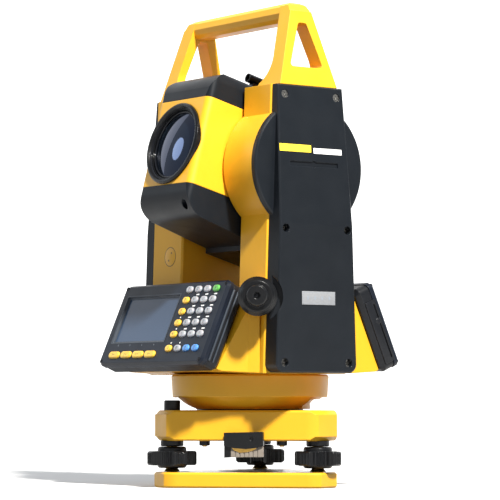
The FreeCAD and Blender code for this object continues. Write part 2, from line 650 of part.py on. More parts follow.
def handle_leg(foot_x, top_x):
    """One splayed A-frame: leaning leg, spreading foot, and a window through it."""
    def half(z):
        share = (z - STANDARD_TOP) / (HANDLE_TOP_Z - STANDARD_TOP)
        return HANDLE_FOOT_HALF + (HANDLE_TOP_HALF - HANDLE_FOOT_HALF) * share
    below, above = STANDARD_TOP - 6, HANDLE_TOP_Z - 2
    outline = [(-half(below), below), (half(below), below), (half(above), above),
               (half(above) - 4, HANDLE_TOP_Z), (-half(above) + 4, HANDLE_TOP_Z), (-half(above), above)]
    lean = (foot_x - top_x) / (HANDLE_TOP_Z - STANDARD_TOP)

    def outer(z):
        return foot_x - lean * (z - STANDARD_TOP)
    inner_foot = foot_x - HANDLE_SPREAD
    foot = [V(inner_foot, 0, STANDARD_TOP), V(inner_foot + 1.5, 0, STANDARD_TOP + 2.5)]
    low, high = HANDLE_BEND_Z
    bend = [foot[-1], V(outer(low + 4) - HANDLE_LEG_T - 2.8, 0, low), V(outer(high) - HANDLE_LEG_T, 0, high)]
    rest = [bend[-1], V(outer(HANDLE_TOP_Z) - HANDLE_LEG_T, 0, HANDLE_TOP_Z),
            V(outer(HANDLE_TOP_Z), 0, HANDLE_TOP_Z), V(foot_x, 0, STANDARD_TOP), foot[0]]
    edges = [Part.makeLine(*foot), Part.Arc(*bend).toShape()]
    edges += [Part.makeLine(a, b) for a, b in zip(rest, rest[1:])]
    side = wire_solid(edges, V(0, 100, 0)).translated(V(0, -50, 0))
    leg = side.common(prism_x(outline, 0, 100))
    window = prism_x(HANDLE_WINDOW, 0, 100)
    window = window.makeFillet(2.0, [e for e in window.Edges if abs(e.tangentAt(e.FirstParameter).x) > 0.9])
    return leg.cut(window)


def handle():
    """Two A-frames joined by a rounded grip bar."""
    right = handle_leg(*HANDLE_RIGHT)
    left = handle_leg(*HANDLE_LEFT).mirror(V(), X_AXIS)
    x0, x1 = -HANDLE_LEFT[1] + 2, HANDLE_RIGHT[1] - 2
    middle = GRIP_Z0 + 6
    flank = [(5, GRIP_Z0), (7.8, GRIP_Z0 + 2.4), (8.8, middle), (7.6, HANDLE_TOP_Z - 2.6), (4, HANDLE_TOP_Z)]
    bar = prism_x(flank + [(-y, z) for y, z in reversed(flank)], x0, x1)
    shape = union([right, left, bar])
    crown = prism_y([(x0 - 30, 200), (x1 + 30, 200), (x1 + 30, HANDLE_TOP_Z - 14), (x1 + 2, HANDLE_TOP_Z - 6),
                     (x1 - 1.5, HANDLE_TOP_Z - 1.2), (x1 - 6, HANDLE_TOP_Z + 1), (x0 + 6, HANDLE_TOP_Z + 1),
                     (x0 + 1.5, HANDLE_TOP_Z - 1.2), (x0 - 2, HANDLE_TOP_Z - 6), (x0 - 30, HANDLE_TOP_Z - 14)],
                    -50, 50)
    return shape.common(crown)


def trunnion_bearings():
    rings = []
    for x0, x1 in ((RIGHT_X0, RIGHT_X0 + WALL + 7), (LEFT_X1 - WALL - 7, LEFT_X1)):
        bore = rod_x(TRUNNION_R + RUN, x0 - 1, x1 + 1, 0, TRUNNION_Z)
        rings.append(trunnion_seat(x0, x1).cut(bore))
    return Part.makeCompound(rings)


def plate_level_cup():
    """Tubular level between the standards, on two feet."""
    level_z = LEVEL_TUBE_Z
    body = rod_x(6.5, -25, 25, 0, level_z).cut(rod_x(4.2, -23, 23, 0, level_z))
    body = body.cut(box(-17, 17, -4.2, 4.2, level_z, level_z + 10))
    feet = [box(x - 3, x + 3, -5, 5, FLOOR_Z, level_z - 5) for x in (-21, 21)]
    return union([body] + feet)


def plate_level_vial():
    return rod_x(4.1, -22.9, 22.9, 0, LEVEL_TUBE_Z)


# ---- display units, in (P, Q, N) and then placed ----
def face_matrix():
    tilt = math.radians(FACE_TILT)
    return frame_matrix(V(0, FACE_Y, FACE_Z), X_AXIS, V(0, math.sin(tilt), math.cos(tilt)),
                        V(0, -math.cos(tilt), math.sin(tilt)))


def on_face(shape):
    return moved(shape, face_matrix())


def on_rear(shape):
    return half_turn(on_face(shape)).translated(V(REAR_SHIFT, 0, 0))


def key_places(colour):
    """Centres of the keys of one colour, row by row."""
    rows = ["wwwg"] + ["owww"] * 4 + ["owbb"]
    places = []
    for q, row in zip(KEY_ROWS_Q, rows):
        places += [(KEY_P0 + KEY_PITCH_P * col, q) for col, kind in enumerate(row) if kind in colour]
    return places


def soft_places():
    return [(SOFT_P0 + SOFT_PITCH * index, SOFT_Q) for index in range(4)]


def pad(p, q, width, height, n0, n1):
    """An upright-sided key with full round ends."""
    half_w, half_h = width / 2, height / 2
    return rounded_block(p - half_w, p + half_w, q - half_h, q + half_h, n0, n1, half_h - 0.02)


def case_face():
    plate = rounded_block(FACE_P0, FACE_P1, FACE_Q0, FACE_Q1, -FACE_T, 0, FACE_CORNER_R)
    plate = softened(plate, 0, 1.8)
    window = rounded_block(SCREEN_P0, SCREEN_P1, SCREEN_Q0, SCREEN_Q1, -FACE_T - 1, 1, 1.0)
    plate = plate.cut(window)
    holes = [(p, q, KEY_W, KEY_H) for p, q in key_places("wogb")]
    holes += [(p, q, SOFT_W, SOFT_H) for p, q in soft_places()]
    cutters = [pad(p, q, w + 2 * KEY_SIDE_GAP, h + 2 * KEY_SIDE_GAP, -FACE_T - 1, 1) for p, q, w, h in holes]
    return plate.cut(Part.makeCompound(cutters))


def case_back():
    seam = 0.3
    back = rounded_block(FACE_P0 + 0.4, FACE_P1 - 0.4, FACE_Q0 + 0.4, FACE_Q1 - 0.4, -CASE_T, -FACE_T - seam,
                         FACE_CORNER_R)
    back = softened(back, -CASE_T, 3.0)
    wall = 2.2
    hollow = rounded_block(FACE_P0 + wall, FACE_P1 - wall, FACE_Q0 + wall, FACE_Q1 - wall, -CASE_T + wall, 0,
                           FACE_CORNER_R - wall + 0.4)
    lip = rounded_block(FACE_P0 + 1.3, FACE_P1 - 1.3, FACE_Q0 + 1.3, FACE_Q1 - 1.3, -FACE_T - 1, -FACE_T,
                        FACE_CORNER_R - 0.9)
    return union([back, lip]).cut(hollow)


def lcd():
    play = 0.05
    return rounded_block(SCREEN_P0 + play, SCREEN_P1 - play, SCREEN_Q0 + play, SCREEN_Q1 - play, -FACE_T + 0.2,
                         -1.8, 1.0)


def key_group(places, width, height):
    keys = []
    for p, q in places:
        key = pad(p, q, width, height, -FACE_T + 1, KEY_PROUD)
        keys.append(key.makeFillet(KEY_DOME, rim(key, KEY_PROUD)))
    return Part.makeCompound(keys)


# ---- coaxial drive: clamp ring outside, tangent knob inside ----
def drive_matrix():
    out = polar(1, DRIVE_ANGLE)
    return frame_matrix(V(DRIVE_X, DRIVE_Y, DRIVE_Z), Z_AXIS.cross(out), Z_AXIS, out)


def ribbed_ring(outer, count, depth, z0, z1):
    """A disc with small grip grooves round it."""
    disc = rod_z(outer, z0, z1)
    grooves = []
    for step in range(count):
        at = polar(outer + 0.35, 360 * step / count)
        grooves.append(rod_z(depth, z0 - 1, z1 + 1, at.x, at.y))
    return disc.cut(Part.makeCompound(grooves))


def clamp_ring():
    ring = ribbed_ring(RING_R, 48, 0.5, RING_T0, RING_T1)
    envelope = turned([(0, RING_T0), (RING_R - 1, RING_T0), (RING_R, RING_T0 + 1), (RING_R, RING_T1 - 3.2),
                       (RING_R - 2.4, RING_T1), (0, RING_T1)])
    ring = ring.common(envelope)
    return moved(ring.cut(rod_z(SLEEVE_R + RUN, RING_T0 - 1, RING_T1 + 1)), drive_matrix())


def tangent_knob():
    z0 = RING_T1 + GAP
    rim_r, hub_r, screw_r, step, reach = 11.3, 6.9, 1.6, 4.2, 12.0
    knob = turned([(0, z0), (rim_r - 0.7, z0), (rim_r, z0 + 0.7), (rim_r, z0 + step - 1.4),
                   (rim_r - 1.3, z0 + step), (hub_r + 0.3, z0 + step), (hub_r, z0 + reach - 1),
                   (hub_r - 0.7, z0 + reach), (screw_r + 1, z0 + reach), (screw_r, z0 + reach - 1),
                   (screw_r, z0 + reach - 2.6), (0, z0 + reach - 2.6)])
    return moved(union([knob, rod_z(KNOB_STEM_R, -7, z0 + 1)]), drive_matrix())


# ---- telescope, in (-X, A, U) and then placed ----
def sight_matrix():
    pitch = math.radians(TELESCOPE_PITCH)
    return frame_matrix(V(0, 0, TRUNNION_Z), V(-1, 0, 0), V(0, -math.cos(pitch), math.sin(pitch)),
                        V(0, math.sin(pitch), math.cos(pitch)))


def on_sight(shape):
    return moved(shape, sight_matrix())


def plan_block(half, u0, u1):
    return rounded_block(-half, half, TUBE_A0, TUBE_A1, u0, u1, TUBE_CORNER_R)


def side_profile(lines, half):
    """A closed outline in (A, U): straight runs as point lists, arcs as three-point tuples in order."""
    edges = []
    for kind, points in lines:
        spots = [V(-half, a, u) for a, u in points]
        if kind == "arc":
            edges.append(Part.Arc(*spots).toShape())
        else:
            edges += [Part.makeLine(a, b) for a, b in zip(spots, spots[1:])]
    return wire_solid(edges, V(2 * half, 0, 0))


def telescope_housing():
    body = plan_block(TUBE_HALF, TUBE_U0, TUBE_U1)
    rear = rod_y(22, TUBE_A0 - 5, TUBE_A0 + 1)
    tail = rod_y(TAIL_R, TAIL_A0, TUBE_A0)
    shape = union([body, rear, tail])
    shape = shape.cut(rod_y(TUNNEL_R, TUBE_A0 + 4, TUBE_A1 + 1))
    shape = shape.cut(rod_y(BARREL_R + RUN, TAIL_A0 - 1, TUBE_A0 + 5))
    shape = shape.cut(rod_y(OBJECTIVE_R, TUBE_A1 - OBJECTIVE_SEAT, TUBE_A1 + 1))
    for side in (-1, 1):
        shape = shape.cut(rod_x(TRUNNION_R, side * (TUNNEL_R - 1), side * (TUBE_HALF + 1)))
    return on_sight(shape)


def cap_envelope():
    """Outer form of the telescope's cap: side profile, arched top, rounded edges."""
    half = TUBE_HALF - 0.2
    joint, crown, crown_r = TUBE_U1 + 0.15, CAP_TOP_U, 110.0
    profile = side_profile([
        ("line", [(TUBE_A0, joint), (TUBE_A1, joint), (66.2, 39)]),
        ("arc", [(66.2, 39), (60.8, 48.4), (49, crown - 1.2)]),
        ("line", [(49, crown - 1.2), (40, crown), (-20, crown)]),
        ("arc", [(-20, crown), (-35, 50), (TUBE_A0, 40)]),
        ("line", [(TUBE_A0, 40), (TUBE_A0, joint)])], half)
    arch = box(-half, half, -80, 80, -20, crown)
    arch = arch.makeFillet(CAP_EDGE_R, [e for e in rim(arch, crown) if abs(e.CenterOfMass.x) > 1])
    shape = profile.common(rod_y(crown_r, -80, 80, 0, crown - crown_r)).common(arch)
    return shape.common(plan_block(half, 20, 70))


def telescope_top_cover():
    wall = 3.2
    hollow = box(-TUBE_HALF + wall, TUBE_HALF - wall, TUBE_A0 + 4, 50, TUBE_U1 - 1, CAP_TOP_U - 13)
    return on_sight(cap_envelope().cut(hollow))


def telescope_bottom_cover():
    half = TUBE_HALF - 0.2
    joint = TUBE_U0 - 0.15
    step = 3.0
    profile = side_profile([
        ("line", [(TUBE_A0, joint), (TUBE_A1, joint), (66.2, -34)]),
        ("arc", [(66.2, -34), (61.2, -44.6), (50, -50)]),
        ("line", [(50, -50), (step, -54), (step - 0.8, -57.5), (-32, -58)]),
        ("arc", [(-32, -58), (-39.5, -55), (TUBE_A0, -48)]),
        ("line", [(TUBE_A0, -48), (TUBE_A0, joint)])], half)
    shape = profile.common(plan_block(half, -70, -20))
    hollow = box(-half + 3, half - 3, TUBE_A0 + 4, 50, -46, joint + 1)
    shape = shape.cut(hollow)
    return on_sight(shape.cut(rod_y(2.9, 55, 80, -23, -43.3)))


def objective_ring():
    """Cell of the front glass: rim proud of the housing, stepped inner wall, seat behind the lens."""
    back, front = TUBE_A1 - OBJECTIVE_SEAT + 0.05, TUBE_A1 + OBJECTIVE_PROUD
    outer = OBJECTIVE_R - 0.02
    seat_r, step_r = LENS_R - 1.9, outer - 4.2
    ring = turned([(seat_r, back), (outer, back), (outer, front - 1.0), (outer - 1.0, front),
                   (outer - 2.2, front), (outer - 3.2, front - 1.4), (outer - 3.2, front - 3.0),
                   (step_r, front - 3.0), (step_r, front - 5.2), (LENS_R + 0.02, front - 5.2),
                   (LENS_R + 0.02, LENS_A - 0.4), (seat_r, LENS_A - 0.4)])
    ring.rotate(V(), X_AXIS, -90)
    return on_sight(ring)


def objective_lens():
    """Front glass with a gently domed face."""
    dome_r, edge_a = 90.0, LENS_A + 3.2
    sag = dome_r - math.sqrt(dome_r ** 2 - LENS_R ** 2)
    dome = Part.makeSphere(dome_r, V(0, edge_a + sag - dome_r, 0))
    return on_sight(dome.common(rod_y(LENS_R, LENS_A - 0.35, edge_a + sag + 1)))


def finder_sight():
    """Small sighting tube on top of the telescope."""
    u = CAP_TOP_U + 3.6
    tube = rod_y(3.2, 0, 32, FINDER_SIDE, u).cut(rod_y(2.4, -1, 33, FINDER_SIDE, u))
    foot = box(FINDER_SIDE - 2.2, FINDER_SIDE + 2.2, 4, 28, CAP_TOP_U - 4, u - 2.7)
    return on_sight(union([tube, foot.cut(cap_envelope())]))


def trunnion_shafts():
    """Stub shafts; in these coordinates the left standard lies on the positive side."""
    shafts = []
    for side, gap_to in ((-1, RIGHT_X0), (1, -LEFT_X1)):
        hub = rod_x(16, side * (TUBE_HALF + 0.05), side * (gap_to - 0.5))
        shaft = rod_x(TRUNNION_R - 0.02, side * 24.4, side * (gap_to + SHAFT_REACH))
        shafts.append(union([hub, shaft]))
    return on_sight(Part.makeCompound(shafts))


def vertical_circle():
    x0 = 47.0
    disc = rod_x(37, -x0 - 2, -x0).cut(rod_x(TRUNNION_R, -x0 - 3, -x0 + 1))
    return on_sight(disc)


def focus_ring():
    ring = ribbed_ring(20, 40, 0.9, 0, 13.5)
    ring = ring.common(turned([(0, 0), (18.5, 0), (20, 1.5), (20, 12), (18.5, 13.5), (0, 13.5)]))
    ring = ring.cut(rod_z(TAIL_R + RUN, -1, 15))
    ring.rotate(V(), X_AXIS, -90)
    return on_sight(ring.translated(V(0, -61.2, 0)))


def eyepiece():
    """Dioptre ring with its barrel and eye lens seat."""
    head = ribbed_ring(13, 30, 0.7, 0, 12).common(
        turned([(0, 0), (9.8, 0), (13, 2.5), (13, 11), (12.4, 12), (0, 12)]))
    shape = union([head, rod_z(BARREL_R, 8, 26)]).cut(rod_z(6.5, 1.6, 30)).cut(rod_z(5, -1, 3))
    shape.rotate(V(), X_AXIS, -90)
    return on_sight(shape.translated(V(0, -74.6, 0)))


# ---- write every sub-part ----
def build():
    parts = {
        "base_plate": base_plate(), "spring_plate": spring_plate(), "tribrach_body": tribrach_body(),
        "footscrew_collars": footscrew_collars(), "underside_plugs": underside_plugs(),
        "circular_level_cup": circular_level_cup(), "circular_level_vial": circular_level_vial(),
        "centring_plug": centring_plug(), "neck_housing": neck_housing(), "axis_bush": axis_bush(),
        "horizontal_circle": horizontal_circle(), "clamp_lever": clamp_lever(),
        "clamp_lever_grip": clamp_lever_grip(),
        "circle_drum": circle_drum(), "axis_spindle": axis_spindle(), "alidade_base": alidade_base(),
        "left_standard": left_standard(), "right_standard": right_standard(), "side_cover": side_cover(),
        "side_cover_screws": side_cover_screws(), "left_cover": left_cover(), "battery_pack": battery_pack(),
        "battery_latch": battery_latch(), "handle": handle(), "trunnion_bearings": trunnion_bearings(),
        "plate_level_cup": plate_level_cup(), "plate_level_vial": plate_level_vial(),
        "telescope_housing": telescope_housing(), "telescope_top_cover": telescope_top_cover(),
        "telescope_bottom_cover": telescope_bottom_cover(), "objective_ring": objective_ring(),
        "objective_lens": objective_lens(), "finder_sight": finder_sight(),
        "trunnion_shafts": trunnion_shafts(), "vertical_circle": vertical_circle(),
        "focus_ring": focus_ring(), "eyepiece": eyepiece(),
    }
    for number, angle in enumerate(SCREW_ANGLES, 1):
        parts[f"footscrew_stem_{number}"] = footscrew_stem(angle)
        parts[f"footscrew_knob_{number}"] = footscrew_knob(angle)
    drives = {"clamp_ring": clamp_ring(), "tangent_knob": tangent_knob()}
    for name, shape in drives.items():
        parts["horizontal_" + name] = shape
        parts["vertical_" + name] = on_left(shape)
    for name, shape in {"case_face": case_face(), "case_back": case_back(), "lcd": lcd()}.items():
        parts["front_" + name] = on_face(shape)
        parts["rear_" + name] = on_rear(shape)
    soft = key_group(soft_places(), SOFT_W, SOFT_H)
    orange = key_group(key_places("o"), KEY_W, KEY_H)
    parts["front_soft_keys"] = on_face(soft)
    parts["front_orange_keys"] = on_face(orange)
    for name, colour in {"white": "w", "blue": "b", "power": "g"}.items():
        parts[f"front_{name}_keys"] = on_face(key_group(key_places(colour), KEY_W, KEY_H))
    parts["rear_orange_keys"] = on_rear(Part.makeCompound(soft.Solids + orange.Solids))
    parts["rear_number_keys"] = on_rear(key_group(key_places("wbg"), KEY_W, KEY_H))
    return parts


os.makedirs("parts", exist_ok=True)
for node, shape in sorted(build().items()):
    bad = [s for s in shape.Solids if not s.isValid()]
    print(node, "solids", len(shape.Solids), "volume", round(shape.Volume / 1000, 2), "INVALID" if bad else "")
    shape.exportStep(f"parts/{node}.step")
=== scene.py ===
import json
import math

import bmesh
import bpy
from mathutils import Matrix, Vector
from mathutils.bvhtree import BVHTree


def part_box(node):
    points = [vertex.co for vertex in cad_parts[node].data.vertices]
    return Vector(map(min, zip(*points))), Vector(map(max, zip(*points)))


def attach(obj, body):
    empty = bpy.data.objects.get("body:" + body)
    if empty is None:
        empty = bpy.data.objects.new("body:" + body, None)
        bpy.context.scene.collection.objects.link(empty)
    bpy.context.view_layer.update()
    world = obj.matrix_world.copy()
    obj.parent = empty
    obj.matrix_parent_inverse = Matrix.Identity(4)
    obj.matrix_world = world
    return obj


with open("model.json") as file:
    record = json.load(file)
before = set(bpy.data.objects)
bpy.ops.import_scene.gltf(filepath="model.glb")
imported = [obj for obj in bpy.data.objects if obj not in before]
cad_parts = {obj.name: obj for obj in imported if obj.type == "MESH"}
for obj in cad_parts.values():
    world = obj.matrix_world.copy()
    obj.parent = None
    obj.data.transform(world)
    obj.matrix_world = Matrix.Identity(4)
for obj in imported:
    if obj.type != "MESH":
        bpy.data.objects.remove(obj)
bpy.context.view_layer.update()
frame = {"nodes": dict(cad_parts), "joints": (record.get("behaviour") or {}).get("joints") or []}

MM = 0.001
NODES = frame["nodes"]

# ---- places and directions taken from the frame ----
JOINTS = {joint["name"]: joint for joint in frame["joints"]}
TRUNNION = Vector(JOINTS["telescope_tilt"]["pos_m"])
SIGHT = Vector(JOINTS["focus_turn"]["axis"]).normalized()
SIGHT_UP = Vector((1, 0, 0)).cross(SIGHT) * -1
X, Y, Z = Vector((1, 0, 0)), Vector((0, 1, 0)), Vector((0, 0, 1))
LENS_NORMAL = (SIGHT + X * 0.08 - SIGHT_UP * 0.005).normalized()     # of the dome, beside its middle

# ---- camera: the viewing angle, distance and lens of a long portrait shot ----
CAMERA_AZIMUTH = 54.0
CAMERA_RISE = 3.32          # degrees the camera looks up
CAMERA_DISTANCE = 1.808
CAMERA_HEIGHT = 0.0592
LENS_MM, SENSOR_MM = 186.9, 36.0

# ---- studio, in metres ----
LIGHT_TARGET_HEIGHT = 0.17      # the middle of the instrument
FLOOR_HALF = 5.0
SWEEP_START, SWEEP_RADIUS, SWEEP_TOP = 1.6, 1.2, 5.0
FLOOR_DROP = 0.0002             # keeps the floor just below the base plate
WORLD_STRENGTH = 0.46

# ---- printed marks, in millimetres above a surface ----
INK_LOW, INK_HIGH = -0.02, 0.04
KEY_PITCH = 10.45


def back_vector(azimuth, rise):
    """Unit vector from the object towards a view or light; azimuth 0 looks along +Y, angles in degrees."""
    a, e = math.radians(azimuth), math.radians(rise)
    return Vector((math.sin(a) * math.cos(e), -math.cos(a) * math.cos(e), math.sin(e)))


# ---- material graphs ----
def linear(code):
    """An sRGB hex colour as a linear RGBA tuple."""
    channels = [int(code[i:i + 2], 16) / 255 for i in (0, 2, 4)]
    return tuple(c / 12.92 if c <= 0.04045 else ((c + 0.055) / 1.055) ** 2.4 for c in channels) + (1.0,)


def scaled(colour, factor):
    return tuple(min(1.0, c * factor) for c in colour[:3]) + (1.0,)


class Graph:
    """A node material with one Principled shader and short calls for what feeds it."""

    def __init__(self, name):
        self.material = bpy.data.materials.new(name)
        self.material.use_nodes = True
        self.tree = self.material.node_tree
        self.tree.nodes.clear()
        self.shader = self.node("ShaderNodeBsdfPrincipled")
        output = self.node("ShaderNodeOutputMaterial")
        self.tree.links.new(self.shader.outputs["BSDF"], output.inputs["Surface"])
        self.coords = self.node("ShaderNodeTexCoord").outputs["Object"]

    def node(self, kind, **inputs):
        made = self.tree.nodes.new(kind)
        for key, value in inputs.items():
            self.feed(made.inputs[key.replace("_", " ")], value)
        return made

    def feed(self, socket, value):
        if isinstance(value, bpy.types.NodeSocket):
            self.tree.links.new(value, socket)
        else:
            socket.default_value = value

    def set(self, **inputs):
        for key, value in inputs.items():
            self.feed(self.shader.inputs[key.replace("_", " ")], value)

    def stretched(self, scale):
        mapping = self.node("ShaderNodeMapping", Vector=self.coords)
        mapping.inputs["Scale"].default_value = scale
        return mapping.outputs["Vector"]

    def noise(self, scale, detail=3.0, roughness=0.5, vector=None):
        return self.node("ShaderNodeTexNoise", Vector=vector or self.coords, Scale=scale, Detail=detail,
                         Roughness=roughness).outputs["Fac"]

    def cells(self, scale, vector=None):
        return self.node("ShaderNodeTexVoronoi", Vector=vector or self.coords, Scale=scale).outputs["Distance"]

    def remap(self, value, low, high, out_low=0.0, out_high=1.0):
        made = self.node("ShaderNodeMapRange", Value=value)
        for key, number in (("From Min", low), ("From Max", high), ("To Min", out_low), ("To Max", out_high)):
            made.inputs[key].default_value = number
        return made.outputs["Result"]

    def math(self, operation, a, b):
        made = self.tree.nodes.new("ShaderNodeMath")
        made.operation = operation
        self.feed(made.inputs[0], a)
        self.feed(made.inputs[1], b)
        return made.outputs["Value"]

    def mix(self, factor, a, b):
        made = self.tree.nodes.new("ShaderNodeMix")
        made.data_type = "RGBA"
        self.feed(made.inputs["Factor"], factor)
        self.feed(made.inputs[6], a)
        self.feed(made.inputs[7], b)
        return made.outputs[2]

    def bump(self, height, distance, strength=1.0, normal=None):
        made = self.node("ShaderNodeBump", Height=height, Distance=distance, Strength=strength)
        if normal is not None:
            self.feed(made.inputs["Normal"], normal)
        return made.outputs["Normal"]

    def edges(self, radius):
        """1 on sharp edges and 0 on open faces; also the edge-rounded normal."""
        rounded = self.tree.nodes.new("ShaderNodeBevel")
        rounded.samples = 4
        rounded.inputs["Radius"].default_value = radius
        flat = self.node("ShaderNodeNewGeometry").outputs["Normal"]
        dot = self.tree.nodes.new("ShaderNodeVectorMath")
        dot.operation = "DOT_PRODUCT"
        self.feed(dot.inputs[0], rounded.outputs["Normal"])
        self.feed(dot.inputs[1], flat)
        return self.remap(dot.outputs["Value"], 0.995, 0.86), rounded.outputs["Normal"]


def enamel(name, colour, rough=0.42):
    """Baked enamel on a casting: faint mottling, orange peel, rubbed edges and a little dust."""
    g = Graph(name)
    base = linear(colour)
    mottle = g.remap(g.noise(16, 5, 0.6), 0.35, 0.65)
    tone = g.mix(mottle, scaled(base, 0.94), scaled(base, 1.03))
    edge, soft_normal = g.edges(0.0007)
    scuff = g.math("MULTIPLY", edge, g.remap(g.noise(240, 3), 0.42, 0.62, 0.1, 0.55))
    tone = g.mix(scuff, tone, scaled(base, 1.35))
    grime = g.remap(g.noise(38, 6, 0.7), 0.60, 0.78, 0.0, 0.16)
    tone = g.mix(grime, tone, scaled(base, 0.55))
    peel = g.bump(g.noise(420, 2), 0.00012, 0.35, soft_normal)
    peel = g.bump(g.noise(1900, 2), 0.00003, 0.4, peel)
    g.set(Base_Color=tone, Roughness=g.remap(g.noise(55, 4), 0.3, 0.7, rough - 0.06, rough + 0.08), Normal=peel,
          Specular_IOR_Level=0.35, Coat_Weight=0.1, Coat_Roughness=0.3)
    return g.material


def moulding(name, colour, rough=0.5, grain=1500, depth=0.00004, edge_wear_and_highlight_gain=2.4):
    """Spark-eroded plastic grain, with edges rubbed smooth and paler; a large edge gain paints highlights on
    the rims.
    """
    g = Graph(name)
    base = linear(colour)
    cloud = g.remap(g.noise(22, 4, 0.6), 0.3, 0.7)
    tone = g.mix(cloud, scaled(base, 0.86), scaled(base, 1.14))
    speck = g.remap(g.noise(grain * 0.9, 2), 0.62, 0.76, 0.0, 0.35)
    tone = g.mix(speck, tone, scaled(base, 1.7))
    edge, soft_normal = g.edges(0.0006)
    # paler edges: rubbing wear at small gains, painted highlight on the rims at large gains
    tone = g.mix(g.math("MULTIPLY", edge, 0.6), tone, scaled(base, edge_wear_and_highlight_gain))
    spread = g.remap(g.noise(70, 4), 0.3, 0.7, rough - 0.04, rough + 0.05)
    grain_normal = g.bump(g.cells(grain), depth, 0.5, soft_normal)
    grain_normal = g.bump(g.noise(grain * 0.35, 3), depth * 1.5, 0.35, grain_normal)
    g.set(Base_Color=tone, Roughness=g.math("SUBTRACT", spread, g.math("MULTIPLY", edge, 0.12)),
          Normal=grain_normal, Specular_IOR_Level=0.2)
    return g.material


def metal(name, colour, rough=0.3, lines=(900, 900, 900), tint=0.75):
    """Machined metal with tool lines along one direction and slight tarnish."""
    g = Graph(name)
    base = linear(colour)
    streak = g.noise(1.0, 4, 0.6, g.stretched(lines))
    tarnish = g.remap(g.noise(120, 4), 0.35, 0.7)
    edge, soft_normal = g.edges(0.0004)
    tone = g.mix(tarnish, scaled(base, tint), base)
    tone = g.mix(g.math("MULTIPLY", edge, 0.5), tone, scaled(base, 1.5))
    g.set(Base_Color=tone, Metallic=1.0, Roughness=g.remap(streak, 0.3, 0.7, rough - 0.08, rough + 0.12),
          Normal=g.bump(streak, 0.00002, 0.5, soft_normal))
    return g.material


def key_rubber(name, colour):
    """Translucent silicone key: soft sheen, faint dust and slightly paler edges."""
    g = Graph(name)
    base = linear(colour)
    tone = g.mix(g.remap(g.noise(260, 3), 0.3, 0.7), scaled(base, 0.9), scaled(base, 1.06))
    edge, soft_normal = g.edges(0.0008)
    tone = g.mix(g.math("MULTIPLY", edge, 0.4), tone, scaled(base, 1.25))
    g.set(Base_Color=tone, Roughness=g.remap(g.noise(400, 3), 0.3, 0.7, 0.36, 0.5),
          Normal=g.bump(g.noise(1800, 2), 0.00003, 0.4, soft_normal), Subsurface_Weight=0.12,
          Subsurface_Scale=0.002, Sheen_Weight=0.15, Sheen_Roughness=0.5)
    return g.material


def clear_glass(name, colour, rough=0.03):
    """Glass with faint smears in its gloss."""
    g = Graph(name)
    smear = g.remap(g.noise(90, 4), 0.4, 0.75, rough, rough + 0.09)
    tone = g.mix(g.remap(g.noise(40, 3), 0.3, 0.7), linear(colour), scaled(linear(colour), 1.15))
    g.set(Base_Color=tone, Roughness=smear, Transmission_Weight=0.92, IOR=1.5,
          Normal=g.bump(g.noise(700, 2), 0.00001, 0.1))
    return g.material


def coated_glass(name):
    """Objective glass against its black tube: nearly black, with a blue-green anti-reflection coating."""
    g = Graph(name)
    tone = g.mix(g.remap(g.noise(26, 2), 0.35, 0.65), linear("0A1015"), linear("121B22"))
    g.set(Base_Color=tone, Roughness=g.remap(g.noise(120, 4), 0.4, 0.8, 0.03, 0.08), IOR=1.6,
          Specular_Tint=linear("9DBBFF"), Coat_Weight=0.3, Coat_Roughness=0.02, Coat_Tint=linear("C9D6FF"),
          Normal=g.bump(g.noise(300, 2), 0.00001, 0.1))
    return g.material


def display_glass(name):
    """Unlit liquid crystal window: blue-grey, with painted light and shade that is paler at the bottom and
    darker towards the top, and a faint pixel grid.
    """
    g = Graph(name)
    low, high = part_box("front_lcd")
    height = g.node("ShaderNodeSeparateXYZ", Vector=g.coords).outputs["Z"]
    # painted light and shade: the window is paler at its lower edge and darker towards its top
    painted_top_shade = g.remap(height, low.z, high.z)
    tone = g.mix(painted_top_shade, linear("465871"), linear("38485E"))
    tone = g.mix(g.remap(g.cells(2200), 0.0, 0.5, 0.0, 0.12), tone, linear("2A3548"))
    g.set(Base_Color=tone, Roughness=g.remap(g.noise(150, 4), 0.35, 0.75, 0.12, 0.24), Specular_IOR_Level=0.3,
          Coat_Weight=0.08, Coat_Roughness=0.06, Normal=g.bump(g.noise(900, 2), 0.00001, 0.15))
    return g.material


def print_ink(name, colour, rough=0.5):
    """Screen-printed ink with slightly uneven cover."""
    g = Graph(name)
    base = linear(colour)
    tone = g.mix(g.remap(g.noise(900, 3), 0.3, 0.7), scaled(base, 0.88), base)
    g.set(Base_Color=tone, Roughness=g.remap(g.noise(500, 2), 0.3, 0.7, rough - 0.06, rough + 0.06),
          Normal=g.bump(g.noise(1500, 2), 0.00002, 0.3))
    return g.material


def floor_material():
    """Matt pale sheet; its far, rising part glows like a lit studio background."""
    g = Graph("pale_floor")
    tone = g.mix(g.remap(g.noise(6, 3), 0.3, 0.7), (0.86, 0.86, 0.86, 1), (0.9, 0.9, 0.9, 1))
    split = g.node("ShaderNodeSeparateXYZ", Vector=g.coords)
    a = math.radians(CAMERA_AZIMUTH)
    away = g.math("SUBTRACT", g.math("MULTIPLY", split.outputs["Y"], math.cos(a)),
                  g.math("MULTIPLY", split.outputs["X"], math.sin(a)))
    g.set(Base_Color=tone, Roughness=g.remap(g.noise(40, 3), 0.3, 0.7, 0.7, 0.8),
          Normal=g.bump(g.noise(900, 2), 0.0001, 0.2), Emission_Color=(1, 1, 1, 1),
          Emission_Strength=g.remap(away, 0.5, 1.8, 0.0, 0.85))
    return g.material


